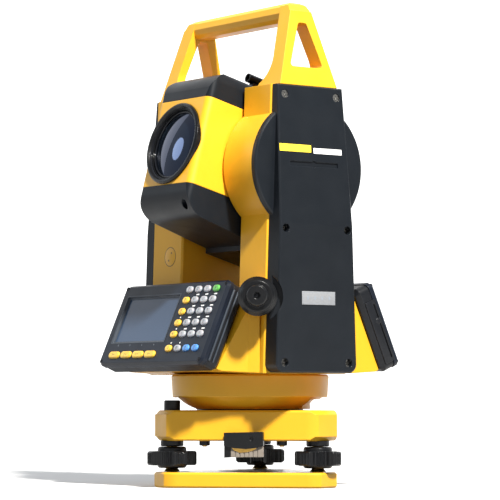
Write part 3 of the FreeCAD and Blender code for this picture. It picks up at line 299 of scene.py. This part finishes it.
YELLOW = enamel("yellow_enamel", "E8AC20")
COVER = moulding("black_cover", "13171C", 0.40, 1700, 0.00002)
PANEL = moulding("panel_plastic", "131924", 0.38, 2000, 0.00002)
# large edge gain: painted highlights on the rims of knobs, rings and cups
BLACK = moulding("black_plastic", "0D0E10", 0.34, 1400, 0.00003, 5.0)
SHELL = moulding("shell_plastic", "17191D", 0.40, 1500, 0.00003)
GRIP = moulding("lever_grip_plastic", "857C72", 0.5, 1300, 0.00005, 1.25)
STEEL = metal("turned_steel", "B9B7B0", 0.3, (300, 300, 4000))
SCREW = metal("screw_steel", "9A9893", 0.28, (1200, 1200, 1200))
DARK_METAL = metal("blackened_metal", "26272A", 0.34, (500, 500, 500), 0.8)
# large edge gain: painted highlight on the rims
BARREL = moulding("matt_barrel_black", "0B0C0E", 0.3, 2600, 0.00003, 6.0)
BRASS = metal("dull_brass", "B08D4A", 0.34, (300, 300, 5000), 0.7)
BRONZE = metal("bearing_bronze", "9C7440", 0.38, (2000, 300, 300))
OBJECTIVE = coated_glass("coated_objective")
CIRCLE = clear_glass("circle_glass", "D5DEDC")
VIAL = clear_glass("level_vial_glass", "B7D46A")
LCD = display_glass("display_window")
KEY_GREY = key_rubber("key_grey", "A3A5AA")
KEY_ORANGE = key_rubber("key_orange", "F0C038")
KEY_BLUE = key_rubber("key_blue", "4A8AD0")
KEY_GREEN = key_rubber("key_green", "55A845")
WHITE_INK = print_ink("white_ink", "F2F2F0")
YELLOW_INK = print_ink("yellow_ink", "FFE23A")
GREY_INK = print_ink("grey_ink", "8C939C")
DARK_INK = print_ink("dark_ink", "3A3B3E")
LABEL = print_ink("label_foil", "8E9093", 0.34)
# painted shade: darker brown-yellow for the gap round the blanking plugs
PAINTED_SHADE_GROOVE = print_ink("painted_plug_groove_shade", "7A5510")
# grey bezel plastic; on the front unit's ridges it is painted highlight
BEZEL_GREY_AND_RIDGE_HIGHLIGHT = moulding("window_bezel", "3A4048", 0.36, 2200, 0.00002)
# very large edge gain: painted highlights and glints on the rims of the retaining ring and thread lines
GLOSS = moulding("gloss_barrel_black", "0C0D10", 0.16, 3000, 0.00001, 8.0)

NODE_MATERIALS = {
    YELLOW: ["base_plate", "tribrach_body", "neck_housing", "circle_drum", "alidade_base", "left_standard",
             "right_standard", "handle", "telescope_housing"],
    COVER: ["side_cover", "left_cover", "telescope_top_cover", "telescope_bottom_cover"],
    PANEL: ["front_case_face", "rear_case_face"],
    SHELL: ["front_case_back", "rear_case_back", "battery_pack", "battery_latch"],
    BLACK: ["footscrew_collars", "underside_plugs", "circular_level_cup", "clamp_lever", "focus_ring",
            "eyepiece",
            "horizontal_clamp_ring", "horizontal_tangent_knob", "vertical_clamp_ring", "vertical_tangent_knob",
            "footscrew_knob_1", "footscrew_knob_2", "footscrew_knob_3"],
    GRIP: ["clamp_lever_grip"],
    STEEL: ["spring_plate", "axis_spindle", "trunnion_shafts"],
    SCREW: ["side_cover_screws"],
    DARK_METAL: ["centring_plug", "plate_level_cup", "finder_sight"],
    BARREL: ["objective_ring"],
    BRASS: ["footscrew_stem_1", "footscrew_stem_2", "footscrew_stem_3"],
    BRONZE: ["axis_bush", "trunnion_bearings"],
    OBJECTIVE: ["objective_lens"],
    CIRCLE: ["horizontal_circle", "vertical_circle"],
    VIAL: ["circular_level_vial", "plate_level_vial"],
    LCD: ["front_lcd", "rear_lcd"],
    KEY_GREY: ["front_white_keys", "rear_number_keys"],
    KEY_ORANGE: ["front_soft_keys", "front_orange_keys", "rear_orange_keys"],
    KEY_BLUE: ["front_blue_keys"],
    KEY_GREEN: ["front_power_keys"],
}
for material, names in NODE_MATERIALS.items():
    for name in names:
        slots = NODES[name].data.materials
        slots.clear()
        slots.append(material)


# ---- camera, light and floor ----
def make_camera():
    data = bpy.data.cameras.new("camera")
    data.lens, data.sensor_width = LENS_MM, SENSOR_MM
    data.clip_start, data.clip_end = 0.05, 30
    camera = bpy.data.objects.new("camera", data)
    camera.location = back_vector(CAMERA_AZIMUTH, 0) * CAMERA_DISTANCE + Z * CAMERA_HEIGHT
    back = back_vector(CAMERA_AZIMUTH, -CAMERA_RISE)
    camera.rotation_mode = "QUATERNION"
    camera.rotation_quaternion = (-back).to_track_quat("-Z", "Y")
    bpy.context.scene.collection.objects.link(camera)
    bpy.context.scene.camera = camera


def area_light(name, azimuth, elevation, distance, size, power, colour=(1, 1, 1)):
    """A softbox that looks at the middle of the instrument."""
    back = back_vector(azimuth, elevation)
    data = bpy.data.lights.new(name, "AREA")
    data.shape, data.size, data.energy, data.color = "DISK", size, power, colour
    light = bpy.data.objects.new(name, data)
    light.location = Z * LIGHT_TARGET_HEIGHT + back * distance
    light.rotation_mode = "QUATERNION"
    light.rotation_quaternion = (-back).to_track_quat("-Z", "Y")
    bpy.context.scene.collection.objects.link(light)


def make_floor():
    """A pale sweep: flat under the object, curving up far behind it."""
    a = math.radians(CAMERA_AZIMUTH)
    away, across = Vector((-math.sin(a), math.cos(a), 0)), Vector((math.cos(a), math.sin(a), 0))
    bends = [math.radians(6 * k) for k in range(1, 16)]
    profile = [(-FLOOR_HALF, 0.0), (SWEEP_START, 0.0)]
    profile += [(SWEEP_START + SWEEP_RADIUS * math.sin(t), SWEEP_RADIUS * (1 - math.cos(t))) for t in bends]
    profile.append((SWEEP_START + SWEEP_RADIUS, SWEEP_TOP))
    mesh = bpy.data.meshes.new("floor")
    bm = bmesh.new()
    rows = [[bm.verts.new(away * run + across * side + Z * (rise - FLOOR_DROP))
             for side in (-FLOOR_HALF, FLOOR_HALF)] for run, rise in profile]
    for (a0, a1), (b0, b1) in zip(rows, rows[1:]):
        bm.faces.new((a0, a1, b1, b0)).smooth = True
    bm.to_mesh(mesh)
    bm.free()
    floor = bpy.data.objects.new("floor", mesh)
    mesh.materials.append(floor_material())
    bpy.context.scene.collection.objects.link(floor)
    floor.visible_diffuse = False       # the even studio light, not the floor, fills the shaded sides


def make_world():
    world = bpy.data.worlds.new("studio")
    world.use_nodes = True
    shade = world.node_tree.nodes["Background"]
    shade.inputs["Color"].default_value = (0.93, 0.96, 1.0, 1)
    shade.inputs["Strength"].default_value = WORLD_STRENGTH
    bpy.context.scene.world = world


def mirrored(normal):
    """Azimuth and rise, in degrees, of the light that a glass facing this way reflects to the camera."""
    back = back_vector(CAMERA_AZIMUTH, -CAMERA_RISE)
    way = 2 * normal.dot(back) * normal - back
    return math.degrees(math.atan2(way.x, -way.y)), math.degrees(math.asin(way.z))


make_camera()
make_world()
make_floor()
area_light("key", 78, 45, 2.0, 0.16, 104, (1.0, 0.97, 0.92))
area_light("front", *mirrored(LENS_NORMAL), 1.8, 0.4, 2.1, (0.72, 0.86, 1.0))
area_light("rim", 205, 50, 2.2, 1.0, 5)
bpy.context.scene.view_settings.view_transform = "Standard"


# ---- helpers for added pieces ----
class Place:
    """A local frame: points (p, q, n) in millimetres on a surface, n out of it."""

    def __init__(self, origin, along, up, out):
        self.origin = Vector(origin)
        self.basis = Matrix((along, up, out)).transposed()

    def at(self, p, q, n=0.0):
        return self.origin + self.basis @ (Vector((p, q, n)) * MM)

    def matrix(self, p=0.0, q=0.0, n=0.0, turn=0.0):
        spin = Matrix.Rotation(math.radians(turn), 3, "Z")
        return Matrix.Translation(self.at(p, q, n)) @ (self.basis @ spin).to_4x4()


def add_piece(name, bm, material, body):
    """A mesh that rides on a body and takes a named finish."""
    bmesh.ops.recalc_face_normals(bm, faces=bm.faces)
    mesh = bpy.data.meshes.new(name)
    bm.to_mesh(mesh)
    bm.free()
    mesh.shade_smooth()
    mesh.set_sharp_from_angle(angle=math.radians(32))
    mesh.materials.append(material)
    made = bpy.data.objects.new(name, mesh)
    bpy.context.scene.collection.objects.link(made)
    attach(made, body)
    return made


def add_slab(bm, place, p, q, width, height, n0, n1, soft=0.0, turn=0.0):
    """A block standing on a surface, with softened edges."""
    made = bmesh.ops.create_cube(bm, size=1.0)["verts"]
    size = Matrix.Diagonal((width * MM, height * MM, (n1 - n0) * MM, 1))
    bmesh.ops.transform(bm, verts=made, matrix=place.matrix(p, q, (n0 + n1) / 2, turn) @ size)
    if soft:
        edges = list({e for v in made for e in v.link_edges})
        bmesh.ops.bevel(bm, geom=edges, offset=soft * MM, segments=2, profile=0.5, affect="EDGES")


def add_turned(bm, place, p, q, outline, steps=40):
    """A body of revolution about a surface's normal, from (radius, n) points in millimetres."""
    rings = []
    for radius, n in outline:
        if radius < 1e-6:
            rings.append([bm.verts.new(place.at(p, q, n))])
        else:
            turn = [2 * math.pi * k / steps for k in range(steps)]
            rings.append([bm.verts.new(place.at(p + radius * math.cos(t), q + radius * math.sin(t), n))
                          for t in turn])
    for low, high in zip(rings, rings[1:]):
        for k in range(steps):
            corners = [low[k % len(low)], low[(k + 1) % len(low)],
                       high[(k + 1) % len(high)], high[k % len(high)]]
            corners = list(dict.fromkeys(corners))
            if len(corners) > 2:
                bm.faces.new(corners)


def place_on(node, start, direction, up):
    """A surface frame where a ray meets a CAD node."""
    mesh = NODES[node].data
    tree = BVHTree.FromPolygons([v.co for v in mesh.vertices], [list(f.vertices) for f in mesh.polygons])
    hit, out, _, _ = tree.ray_cast(Vector(start), Vector(direction))
    out = out if out.dot(Vector(direction)) < 0 else -out
    rise = (Vector(up) - out * Vector(up).dot(out)).normalized()
    return Place(hit, rise.cross(out), rise, out)


def loose_parts(node, place):
    """(p, q, width, top) of every separate solid of a node, in a surface frame, top row first."""
    mesh = NODES[node].data
    spot = [tuple(round(c, 6) for c in v.co) for v in mesh.vertices]
    parent = {key: key for key in spot}

    def root(key):
        while parent[key] != key:
            parent[key] = parent[parent[key]]
            key = parent[key]
        return key
    for edge in mesh.edges:
        parent[root(spot[edge.vertices[0]])] = root(spot[edge.vertices[1]])
    back = place.matrix().inverted()
    groups = {}
    for key in parent:
        groups.setdefault(root(key), []).append(back @ Vector(key) / MM)
    parts = []
    for points in groups.values():
        low = [min(v[k] for v in points) for k in range(3)]
        high = [max(v[k] for v in points) for k in range(3)]
        parts.append(((low[0] + high[0]) / 2, (low[1] + high[1]) / 2, high[0] - low[0], high[2]))
    return sorted(parts, key=lambda part: (-round(part[1], 1), part[0]))


# ---- display units ----
def face_place(side):
    """Frame on a display's front plane: p from its left edge, q from its lower edge."""
    joint = JOINTS["front_white_keys_press" if side == "front" else "rear_number_keys_press"]
    out = -Vector(joint["axis"]).normalized()
    along = X if side == "front" else -X
    up = out.cross(along)
    points = [v.co for v in NODES[side + "_case_face"].data.vertices]
    corner = along * min(v.dot(along) for v in points) + up * min(v.dot(up) for v in points)
    return Place(corner + out * max(v.dot(out) for v in points), along, up, out)


def extent(node, place):
    """Smallest and largest (p, q, n) of a node in a surface frame."""
    back = place.matrix().inverted()
    local = [back @ v.co / MM for v in NODES[node].data.vertices]
    return [min(v[k] for v in local) for k in range(3)], [max(v[k] for v in local) for k in range(3)]


SEGMENTS = {"top": (0, 1, 0.8, 0.16), "mid": (0, 0, 0.8, 0.16), "low": (0, -1, 0.8, 0.16),
            "tl": (-1, 0.5, 0.16, 0.8), "tr": (1, 0.5, 0.16, 0.8), "bl": (-1, -0.5, 0.16, 0.8),
            "br": (1, -0.5, 0.16, 0.8)}
DIGITS = ["top tl tr bl br low", "tr br", "top tr mid bl low", "top tr mid br low", "tl tr mid br",
          "top tl mid br low", "top tl mid bl br low", "top tr br", "top tl tr mid bl br low",
          "top tl tr mid br low"]


def add_digit(bm, place, p, q, top, number, size=1.25):
    for key in DIGITS[number].split():
        across, up, width, height = SEGMENTS[key]
        add_slab(bm, place, p + across * size * 0.42, q + up * size * 0.8, max(width * size, 0.26),
                 max(height * size, 0.26), top + INK_LOW, top + INK_HIGH)


def dress_keys(side, place, marks, ticks):
    """Legends on every key, and the printed marks on the panel beside them."""
    nodes = [name for name in sorted(NODES) if name.startswith(side) and name.endswith("_keys")]
    squares = {name: [part for part in loose_parts(name, place) if part[2] < 10] for name in nodes}
    rows = sorted({round(part[1]) for parts in squares.values() for part in parts}, reverse=True)
    first = min(part[0] for parts in squares.values() for part in parts)
    for name in nodes:
        legend = bmesh.new()
        for p, q, _, top in (part for part in loose_parts(name, place) if part[2] > 10):
            add_slab(legend, place, p - 1.2, q, 0.3, 1.7, top + INK_LOW, top + INK_HIGH)
            add_slab(legend, place, p + 0.7, q, 1.8, 0.3, top + INK_LOW, top + INK_HIGH)
            add_slab(ticks, place, p, q + 7.4, 0.35, 1.1, INK_LOW, INK_HIGH)
        for index, (p, q, _, top) in enumerate(squares[name]):
            row, column = rows.index(round(q)), round((p - first) / KEY_PITCH)
            add_digit(legend, place, p, q, top, (index * 7 + 3) % 10)
            if 0 < row < 5 and column > 0:
                add_slab(marks, place, p + 0.8, q + 4.1, 3.4, 1.0, INK_LOW, INK_HIGH, 0, 0.2)
            elif (row > 2 and column == 0) or (row == 5 and column == 1):
                add_slab(marks, place, p + 0.3, q + 4.3, 1.3, 1.0, INK_LOW, INK_HIGH)
        add_piece(name + "_legends", legend, DARK_INK, name)


def dress_display(side):
    place = face_place(side)
    low, high = extent(side + "_lcd", place)
    bm = bmesh.new()
    rows = []
    for grow, n in ((0.9, 0.10), (0.15, 0.12), (-0.5, high[2] + 0.5), (-1.3, high[2] + 0.35),
                    (-1.3, high[2] + 0.05)):
        corners = [(low[0] - grow, low[1] - grow), (high[0] + grow, low[1] - grow),
                   (high[0] + grow, high[1] + grow), (low[0] - grow, high[1] + grow)]
        rows.append([bm.verts.new(place.at(p, q, n)) for p, q in corners])
    for inner, outer in zip(rows, rows[1:]):
        for k in range(4):
            bm.faces.new((inner[k], inner[(k + 1) % 4], outer[(k + 1) % 4], outer[k]))
    add_piece(side + "_window_bezel", bm, BEZEL_GREY_AND_RIDGE_HIGHLIGHT, "alidade")
    marks, ticks = bmesh.new(), bmesh.new()
    dress_keys(side, place, marks, ticks)
    add_piece(side + "_key_marks", marks, WHITE_INK, "alidade")
    add_piece(side + "_soft_key_ticks", ticks, GREY_INK, "alidade")
    _, corner = extent(side + "_case_face", place)
    bm = bmesh.new()
    for p in (3.4, corner[0] - 3.4):
        for q in (3.2, corner[1] - 3.0):
            add_turned(bm, place, p, q, [(1.5, 0.03), (1.5, 0.16), (1.25, 0.28), (1.0, 0.28), (0.9, 0.06),
                                         (0, 0.05)], 28)
            add_slab(bm, place, p, q, 1.5, 0.3, 0.05, 0.16)
            add_slab(bm, place, p, q, 0.3, 1.5, 0.05, 0.16)
    add_piece(side + "_face_screws", bm, DARK_METAL, "alidade")


def end_place(side, sign):
    """Frame on a case's end: p runs up the face, q from the front plane backwards, n outwards."""
    place = face_place(side)
    across, up, out = place.basis.col
    low, high = extent(side + "_case_face", place)
    edge = high[0] if sign > 0 else low[0]
    return Place(place.at(edge, 0, 0), up, -out, across * sign)


def dress_case_ends():
    """Ridges down the front unit's end in pale grey as painted highlight, and the slotted port lid on the rear
    unit's end with painted shade in its slots.
    """
    ridges = bmesh.new()
    place = end_place("front", 1)
    # pale grey ridges: painted highlight along the front unit's end
    for q, width, lift in ((5.9, 1.3, 1.0), (9.4, 1.0, 0.8)):
        add_slab(ridges, place, 30.5, q, 52, width, -0.5, lift - 0.4, 0.25)
    add_piece("front_case_ridges_painted_highlight", ridges, BEZEL_GREY_AND_RIDGE_HIGHLIGHT, "alidade")
    place = end_place("rear", -1)
    lid, slots = bmesh.new(), bmesh.new()
    for q0, q1 in ((3.6, 5.2), (6.4, 12.6)):
        add_slab(lid, place, 28, (q0 + q1) / 2, 45, q1 - q0, -0.6, 0.45, 0.25)
    for p0, p1 in ((5.5, 8.0), (34.0, 37.0), (47.5, 50.5)):
        add_slab(lid, place, (p0 + p1) / 2, 5.8, p1 - p0, 2.2, -0.6, 0.45, 0.25)
    add_turned(lid, place, 35.5, 6.6, [(2.1, -0.5), (2.1, 0.6), (1.7, 0.9), (0, 0.9)], 32)
    # painted shade: darker black floors sunk in the lid's slots
    for p0, p1 in ((8.0, 34.0), (37.0, 47.5)):
        add_slab(slots, place, (p0 + p1) / 2, 5.8, p1 - p0, 1.2, -0.6, -0.3)
    add_piece("rear_port_lid", lid, SHELL, "alidade")
    add_piece("rear_port_slots_painted_shade", slots, BARREL, "alidade")


# ---- side cover: stripes, label plate ----
def at_height(offset):
    """A height in metres, measured from the telescope's axis in millimetres."""
    return TRUNNION.z + offset * MM


def dress_side_cover():
    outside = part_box("side_cover")[1].x + 0.05
    for name, y0, y1, z, tall, material in (("yellow_stripe", -28.5, -2.0, 11.5, 5.0, YELLOW_INK),
                                            ("white_stripe", 0.0, 24.0, 10.4, 3.8, WHITE_INK)):
        place = place_on("side_cover", (outside, (y0 + y1) / 2 * MM, at_height(z)), -X, Z)
        bm = bmesh.new()
        add_slab(bm, place, 0, 0, y1 - y0, tall, -0.05, 0.06)
        add_piece("cover_" + name, bm, material, "alidade")
    place = place_on("side_cover", (outside, 0.001, at_height(-89.5)), -X, Z)
    bm = bmesh.new()
    add_slab(bm, place, 0, 0, 28, 9, -0.05, 0.35, 0.12)
    add_piece("label_plate", bm, LABEL, "alidade")
    bm = bmesh.new()
    for side in (-1, 1):
        add_slab(bm, place, 0, side * 3.7, 26.4, 0.2, 0.3, 0.39)
        add_slab(bm, place, side * 13.1, 0, 0.2, 7.6, 0.3, 0.39)
    for index in range(7):
        add_slab(bm, place, -9 + index * 3.0, 0, 1.5, 0.5 if index % 2 else 2.6, 0.3, 0.39)
    add_piece("label_marks", bm, GREY_INK, "alidade")


# ---- standards: blanking plugs ----
def dress_standards():
    for node, x, offset, direction, name in (("left_standard", -51.5, -57, Y, "front_plug"),
                                             ("left_standard", -54.0, -57, -Y, "rear_plug"),
                                             ("right_standard", 50.0, -40, -Y, "rear_right_plug")):
        start = Vector((x * MM, 0, at_height(offset))) - direction * 0.2
        place = place_on(node, start, direction, Z)
        bm = bmesh.new()
        add_turned(bm, place, 0, 0, [(6.4, -0.1), (6.4, 0.05), (6.2, 0.12), (0, 0.12)], 56)
        add_piece(name, bm, YELLOW, "alidade")
        # painted shade: a darker ring round the plug's edge stands in for the shade in its gap, and the two
        # small dots take the same painted shade
        bm = bmesh.new()
        add_turned(bm, place, 0, 0, [(6.95, -0.1), (6.95, 0.04), (6.4, 0.04), (6.4, -0.1)], 56)
        for side in (-1, 1):
            add_turned(bm, place, side * 1.6, side * 2.6, [(0.7, 0.1), (0.7, 0.16), (0, 0.15)], 20)
        add_piece(name + "_painted_shade_ring_and_dots", bm, PAINTED_SHADE_GROOVE, "alidade")


# ---- tangent knobs: centre screws ----
def dress_drives():
    for side in ("horizontal", "vertical"):
        body = side + "_tangent_knob"
        joint = JOINTS[side + "_tangent_turn"]
        out, seat = Vector(joint["axis"]).normalized(), Vector(joint["pos_m"])
        reach = max((v.co - seat).dot(out) for v in NODES[body].data.vertices) / MM
        place = Place(seat, Z.cross(out), Z, out)
        floor = reach - 2.6
        bm = bmesh.new()
        add_turned(bm, place, 0, 0, [(1.45, floor - 0.1), (1.45, floor + 0.7), (1.15, floor + 1.0),
                                     (0.75, floor + 1.0), (0.6, floor + 0.3), (0, floor + 0.3)], 32)
        add_piece(side + "_knob_screw", bm, DARK_METAL, body)


# ---- telescope: retaining ring, thread lines, eye lens ----
def dress_telescope():
    centre = Vector(JOINTS["focus_turn"]["pos_m"])
    lens = max((v.co - centre).dot(SIGHT) for v in NODES["objective_lens"].data.vertices) / MM
    place = Place(centre, X, SIGHT.cross(X) * -1, SIGHT)
    bm = bmesh.new()
    add_turned(bm, place, 0, 0, [(24.75, lens - 3.0), (24.75, lens - 1.95), (24.4, lens - 1.75),
                                 (23.3, lens - 1.75), (22.95, lens - 2.1), (22.95, lens - 2.9)], 96)
    add_piece("lens_retaining_ring", bm, GLOSS, "telescope")
    # thread rings in the gloss black, whose edge gain paints glints on their rims
    bm = bmesh.new()
    for n in (lens - 0.9, lens - 0.2):
        add_turned(bm, place, 0, 0, [(25.78, n), (25.4, n + 0.2), (25.78, n + 0.4)], 96)
    add_piece("objective_thread_lines", bm, GLOSS, "telescope")
    eye = min((v.co - centre).dot(SIGHT) for v in NODES["eyepiece"].data.vertices) / MM
    bm = bmesh.new()
    rear = Place(centre, -X, SIGHT.cross(X) * -1, -SIGHT)
    add_turned(bm, rear, 0, 0, [(6.3, -eye - 2.4), (6.0, -eye - 1.9), (4.0, -eye - 1.3), (2.0, -eye - 1.05),
                                (0, -eye - 1.0)], 48)
    add_piece("eye_lens", bm, OBJECTIVE, "eyepiece")


# ---- tribrach: screws under it, level's circle, lever's brass scale ----
def dress_base():
    down = -Z
    flat = Place((0, 0, 0), X, Y, Z)
    bm = bmesh.new()
    for p, q, _, _ in loose_parts("underside_plugs", flat):
        place = Place((p * MM, q * MM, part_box("underside_plugs")[0].z), X, down.cross(X), down)
        add_turned(bm, place, 0, 0, [(1.8, -1.2), (1.8, 0.3), (1.4, 0.7), (0.5, 0.7), (0.4, 0.3), (0, 0.3)], 28)
    add_piece("underside_screws", bm, BRASS, "tribrach")
    low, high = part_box("circular_level_vial")
    place = Place(((low.x + high.x) / 2, (low.y + high.y) / 2, high.z), X, Y, Z)
    bm = bmesh.new()
    add_turned(bm, place, 0, 0, [(1.3, 0.02), (1.3, 0.08), (1.15, 0.08), (1.15, 0.02)], 40)
    add_piece("level_circle", bm, DARK_INK, "tribrach")
    out, pivot = Vector(JOINTS["clamp_lever_turn"]["axis"]), Vector(JOINTS["clamp_lever_turn"]["pos_m"])
    face = max((v.co - pivot).dot(out) for v in NODES["clamp_lever_grip"].data.vertices) / MM
    place = Place(pivot, Z.cross(out), Z, out)
    upper = [(-13.6, -6.0), (-4, -6.6), (3.4, -5.9)]
    lower = [(3.2, -6.6), (0.8, -8.0), (-3.3, -9.1), (-8.3, -9.4), (-12.0, -7.9)]
    bm = bmesh.new()
    made = bm.faces.new([bm.verts.new(place.at(p, q, face - 0.1)) for p, q in upper + lower])
    raised = bmesh.ops.extrude_face_region(bm, geom=[made])["geom"]
    raised = [v for v in raised if isinstance(v, bmesh.types.BMVert)]
    bmesh.ops.translate(bm, verts=raised, vec=out * 0.45 * MM)
    add_piece("lever_scale", bm, BRASS, "clamp_lever")


dress_display("front")
dress_display("rear")
dress_case_ends()
dress_side_cover()
dress_standards()
dress_drives()
dress_telescope()
dress_base()
